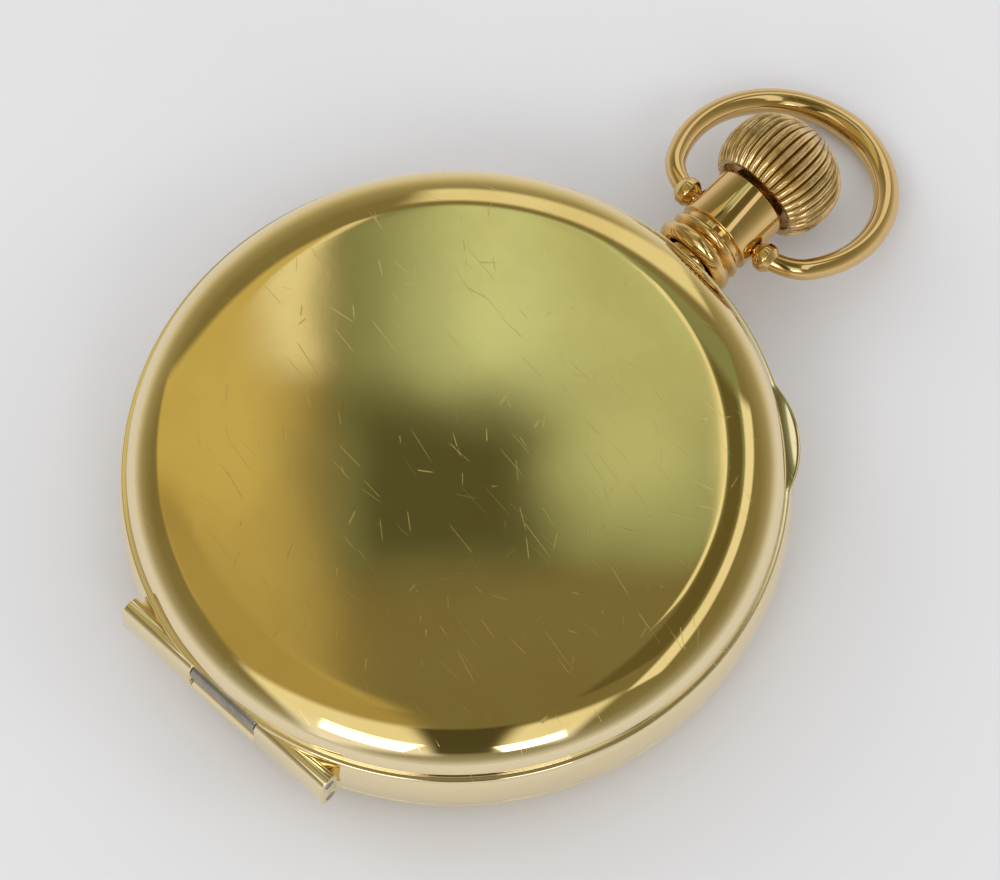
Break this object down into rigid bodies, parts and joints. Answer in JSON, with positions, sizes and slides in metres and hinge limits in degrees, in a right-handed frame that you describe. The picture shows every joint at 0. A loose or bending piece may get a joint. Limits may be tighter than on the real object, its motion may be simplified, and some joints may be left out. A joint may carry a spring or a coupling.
{
  "type": "half hunter pocket watch",
  "caption": "Half hunter pocket watch lying closed on its front lid, with hinged covers, swivelling bow, ribbed crown and a working train, motion work and winding work inside.",
  "frame": {"origin": "centre of the flat face of the front lid's window ring, on the case axis", "axes": "+Z from the front of the watch up through its back cover, +Y from the hinge to the pendant, +X to the right seen from the back with the pendant up"},
  "size_m": [0.0506, 0.0702, 0.0125],
  "materials": {
    "gold": "polished yellow gold plate with fine hairline scratches",
    "crown_gold": "satin ribbed rolled gold",
    "gold_inside": "satin gilt",
    "hinge_steel": "worn bright steel and nickel",
    "steel": "polished steel",
    "spring_blue": "tempered blue steel",
    "gilt": "gilt brass with straight graining",
    "train_brass": "satin brass",
    "enamel_white": "glossy vitreous enamel",
    "enamel_blue": "glossy blue enamel",
    "glass": "clear polished mineral glass",
    "ruby": "polished red jewel stone"
  },
  "bodies": {
    "case": {"case_band": "gold", "lid_hinge_pins": "hinge_steel", "cuvette_hinge_pin": "hinge_steel", "bezel": "gold_inside", "crystal": "glass", "pendant": "gold", "pendant_sleeve": "steel", "lock_spring": "steel", "main_plate": "gilt", "dial": "enamel_white", "jewels": "ruby", "barrel_bridge": "gilt", "train_bridge": "gilt", "balance_cock": "gilt", "pallet_cock": "gilt", "bridge_screws": "spring_blue", "case_screws": "steel", "winding_screws": "steel", "click_spring": "steel", "regulator": "steel"},
    "back_lid": {"back_cover": "gold"},
    "inner_lid": {"cuvette": "gold_inside"},
    "front_cover": {"front_lid": "gold", "window_ring": "gold", "window_glass": "glass", "chapter_numerals": "enamel_blue"},
    "bow": {"bow": "gold"},
    "winding_pinion": {"winding_pinion": "steel"},
    "stem_and_crown": {"winding_stem": "steel", "crown": "crown_gold"},
    "clutch_pinion": {"clutch_pinion": "steel"},
    "setting_lever": {"setting_lever": "steel"},
    "yoke": {"yoke": "steel"},
    "crown_wheel": {"crown_wheel": "steel"},
    "ratchet": {"ratchet_wheel": "steel", "barrel_arbor": "steel"},
    "click": {"click": "steel"},
    "barrel": {"barrel": "train_brass", "barrel_lid": "train_brass", "mainspring": "steel"},
    "centre_wheel": {"centre_wheel": "train_brass", "centre_arbor": "steel", "cannon_pinion": "steel", "minute_hand": "spring_blue"},
    "third_wheel": {"third_wheel": "train_brass", "third_arbor": "steel"},
    "fourth_wheel": {"fourth_wheel": "train_brass", "fourth_arbor": "steel", "seconds_hand": "spring_blue"},
    "escape_wheel": {"escape_wheel": "train_brass", "escape_arbor": "steel"},
    "minute_wheel": {"minute_wheel": "train_brass"},
    "hour_wheel": {"hour_wheel": "train_brass", "hour_hand": "spring_blue"},
    "setting_wheel": {"setting_wheel": "steel"},
    "pallet_fork": {"pallet_fork": "steel", "pallet_stones": "ruby"},
    "balance": {"balance_wheel": "train_brass", "balance_staff": "steel", "hairspring": "spring_blue"}
  },
  "joints": [
    {"name": "back_lid_hinge", "type": "hinge", "parent": "case", "child": "back_lid", "pos_m": [0, -0.0242, 0.0074], "axis": [1, 0, 0], "range_deg": [0, 95]},
    {"name": "inner_lid_hinge", "type": "hinge", "parent": "case", "child": "inner_lid", "pos_m": [0, -0.0229, 0.00865], "axis": [1, 0, 0], "range_deg": [0, 81.8]},
    {"name": "front_cover_hinge", "type": "hinge", "parent": "case", "child": "front_cover", "pos_m": [0, -0.0242, 0.00525], "axis": [-1, 0, 0], "range_deg": [0, 95]},
    {"name": "bow_swing", "type": "hinge", "parent": "case", "child": "bow", "pos_m": [0, 0.0297, 0.00632], "axis": [1, 0, 0], "range_deg": [-94, 136]},
    {"name": "stem_spin", "type": "hinge", "parent": "case", "child": "winding_pinion", "pos_m": [0, 0.014, 0.00632], "axis": [0, 1, 0], "continuous": true},
    {"name": "crown_pull", "type": "slide", "parent": "winding_pinion", "child": "stem_and_crown", "axis": [0, 1, 0], "range_m": [0, 0.0009]},
    {"name": "clutch_slide", "type": "slide", "parent": "winding_pinion", "child": "clutch_pinion", "axis": [0, 1, 0], "range_m": [-0.0009009, 0]},
    {"name": "setting_lever_swing", "type": "hinge", "parent": "case", "child": "setting_lever", "pos_m": [0.00323, 0.01725, 0.00632], "axis": [0, 0, 1], "range_deg": [-20.03, 0]},
    {"name": "yoke_swing", "type": "hinge", "parent": "case", "child": "yoke", "pos_m": [0.0042, 0.0123, 0.00632], "axis": [0, 0, 1], "range_deg": [0, 16.27]},
    {"name": "crown_wheel_spin", "type": "hinge", "parent": "case", "child": "crown_wheel", "pos_m": [0, 0.0114, 0.00795], "axis": [0, 0, 1], "continuous": true},
    {"name": "ratchet_spin", "type": "hinge", "parent": "case", "child": "ratchet", "pos_m": [-0.00818, 0.00473, 0.00795], "axis": [0, 0, 1], "continuous": true},
    {"name": "click_swing", "type": "hinge", "parent": "case", "child": "click", "pos_m": [-0.0089, 0.0129, 0.00795], "axis": [0, 0, 1], "range_deg": [0, 10]},
    {"name": "fourth_wheel_spin", "type": "hinge", "parent": "case", "child": "fourth_wheel", "pos_m": [0, -0.0105, 0.00745], "axis": [0, 0, 1], "continuous": true},
    {"name": "third_wheel_spin", "type": "hinge", "parent": "case", "child": "third_wheel", "pos_m": [0.0049, -0.00645, 0.00677], "axis": [0, 0, 1], "continuous": true},
    {"name": "centre_wheel_spin", "type": "hinge", "parent": "case", "child": "centre_wheel", "pos_m": [0, 0, 0.00769], "axis": [0, 0, 1], "continuous": true},
    {"name": "barrel_spin", "type": "hinge", "parent": "case", "child": "barrel", "pos_m": [-0.00818, 0.00473, 0.00647], "axis": [0, 0, 1], "continuous": true},
    {"name": "escape_wheel_spin", "type": "hinge", "parent": "case", "child": "escape_wheel", "pos_m": [-0.00553, -0.00902, 0.007], "axis": [0, 0, 1], "continuous": true},
    {"name": "minute_wheel_spin", "type": "hinge", "parent": "case", "child": "minute_wheel", "pos_m": [0.00393, 0.00275, 0.00525], "axis": [0, 0, 1], "continuous": true},
    {"name": "hour_wheel_spin", "type": "hinge", "parent": "case", "child": "hour_wheel", "pos_m": [0, 0, 0.00485], "axis": [0, 0, 1], "continuous": true},
    {"name": "setting_wheel_spin", "type": "hinge", "parent": "case", "child": "setting_wheel", "pos_m": [0.00139, 0.00819, 0.00525], "axis": [0, 0, 1], "continuous": true},
    {"name": "pallet_swing", "type": "hinge", "parent": "case", "child": "pallet_fork", "pos_m": [-0.00919, -0.00754, 0.00694], "axis": [0, 0, 1], "range_deg": [-4, 4]},
    {"name": "balance_swing", "type": "hinge", "parent": "case", "child": "balance", "pos_m": [-0.01345, -0.00582, 0.0085], "axis": [0, 0, 1], "range_deg": [-270, 270]}
  ],
  "couplings": [
    {"joint": "inner_lid_hinge", "follows": "back_lid_hinge", "ratio": 0.85},
    {"joint": "clutch_slide", "follows": "crown_pull", "ratio": -1},
    {"joint": "setting_lever_swing", "follows": "crown_pull", "rad_per_m": -386.56},
    {"joint": "yoke_swing", "follows": "crown_pull", "rad_per_m": 313.54},
    {"joint": "crown_wheel_spin", "follows": "stem_spin", "ratio": -0.4375},
    {"joint": "ratchet_spin", "follows": "stem_spin", "ratio": 0.30625},
    {"joint": "third_wheel_spin", "follows": "fourth_wheel_spin", "ratio": -0.13333},
    {"joint": "centre_wheel_spin", "follows": "fourth_wheel_spin", "ratio": 0.016667},
    {"joint": "barrel_spin", "follows": "fourth_wheel_spin", "ratio": -0.0020833},
    {"joint": "escape_wheel_spin", "follows": "fourth_wheel_spin", "ratio": -10},
    {"joint": "minute_wheel_spin", "follows": "fourth_wheel_spin", "ratio": -0.0055556},
    {"joint": "hour_wheel_spin", "follows": "fourth_wheel_spin", "ratio": 0.0013889},
    {"joint": "setting_wheel_spin", "follows": "fourth_wheel_spin", "ratio": 0.0083333}
  ]
}
